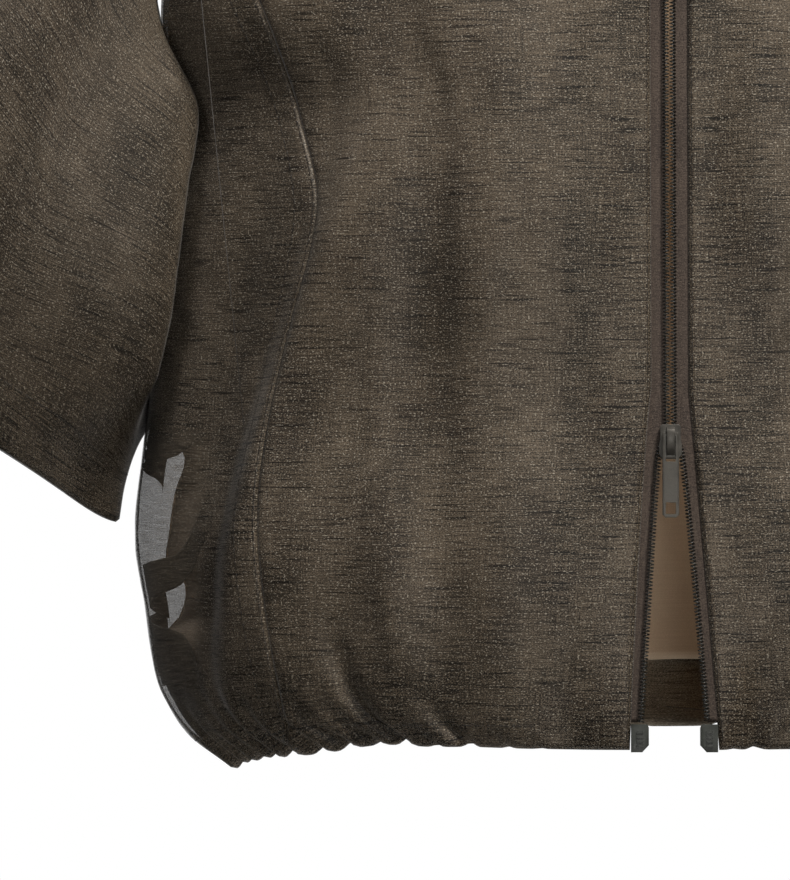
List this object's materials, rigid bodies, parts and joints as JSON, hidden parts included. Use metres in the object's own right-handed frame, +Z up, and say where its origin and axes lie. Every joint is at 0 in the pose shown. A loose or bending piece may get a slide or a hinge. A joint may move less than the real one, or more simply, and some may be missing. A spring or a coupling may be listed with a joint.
{
  "type": "jacket",
  "caption": "Short-sleeved blouson jacket in sheer cloth with stand collar, gathered elastic hem, part lining and a front zip that opens from both ends.",
  "frame": {"origin": "centre back of the neck seam, from which a jacket is measured and held up", "axes": "+Z up, -Y the front of the jacket, +X the wearer's left"},
  "size_m": [0.7802, 0.241, 0.61],
  "materials": {
    "shell_cloth": "lustrous see-through slub weave",
    "lining_cloth": "smooth plain-weave lining",
    "zip_tape": "matt woven zip tape",
    "elastic": "knitted elastic",
    "coil": "semi-gloss nylon coil",
    "moulded_block": "moulded end block, slightly glossy",
    "slider_metal": "satin grey lacquered zinc"
  },
  "bodies": {
    "garment": {"shell_back": "shell_cloth", "shell_front_right": "shell_cloth", "shell_front_left": "shell_cloth", "shell_side_right": "shell_cloth", "shell_side_left": "shell_cloth", "lining_right": "lining_cloth", "lining_left": "lining_cloth", "lining_back": "lining_cloth", "front_facing_right": "shell_cloth", "front_facing_left": "shell_cloth", "hem_facing_right": "shell_cloth", "hem_facing_left": "shell_cloth", "hem_facing_back": "shell_cloth", "hem_elastic": "elastic", "collar_outer": "shell_cloth", "collar_inner": "shell_cloth", "zip_tape_right": "zip_tape", "zip_tape_left": "zip_tape", "zip_coil_right": "coil", "zip_coil_left": "coil", "zip_end_block_right": "moulded_block", "zip_end_block_left": "moulded_block", "top_stop_right": "slider_metal", "top_stop_left": "slider_metal"},
    "slider_lower": {"slider_lower": "slider_metal"},
    "pull_lower": {"pull_lower": "slider_metal"},
    "slider_upper": {"slider_upper": "slider_metal"},
    "pull_upper": {"pull_upper": "slider_metal"},
    "sleeve_right": {"sleeve_right": "shell_cloth", "sleeve_hem_right": "shell_cloth"},
    "sleeve_left": {"sleeve_left": "shell_cloth", "sleeve_hem_left": "shell_cloth"}
  },
  "joints": [
    {"name": "lower_slider_travel", "type": "slide", "parent": "garment", "child": "slider_lower", "axis": [0, 0.0698, 0.9976], "range_m": [0, 0.16], "deforming": ["zip_coil_right", "zip_coil_left"]},
    {"name": "lower_pull_swing", "type": "hinge", "parent": "slider_lower", "child": "pull_lower", "pos_m": [0, -0.17811, -0.40998], "axis": [-1, 0, 0], "range_deg": [0, 165]},
    {"name": "upper_slider_travel", "type": "slide", "parent": "garment", "child": "slider_upper", "axis": [0, 0.0698, 0.9976], "range_m": [-0.15, 0], "deforming": ["zip_coil_right", "zip_coil_left"]},
    {"name": "upper_pull_swing", "type": "hinge", "parent": "slider_upper", "child": "pull_upper", "pos_m": [0, -0.15049, -0.01552], "axis": [-1, 0, 0], "range_deg": [0, 165]},
    {"name": "sleeve_right_lift", "type": "hinge", "parent": "garment", "child": "sleeve_right", "pos_m": [-0.25, -0.062, -0.075], "axis": [0, 1, 0], "range_deg": [0, 40]},
    {"name": "sleeve_left_lift", "type": "hinge", "parent": "garment", "child": "sleeve_left", "pos_m": [0.25, -0.062, -0.075], "axis": [0, -1, 0], "range_deg": [0, 40]}
  ]
}
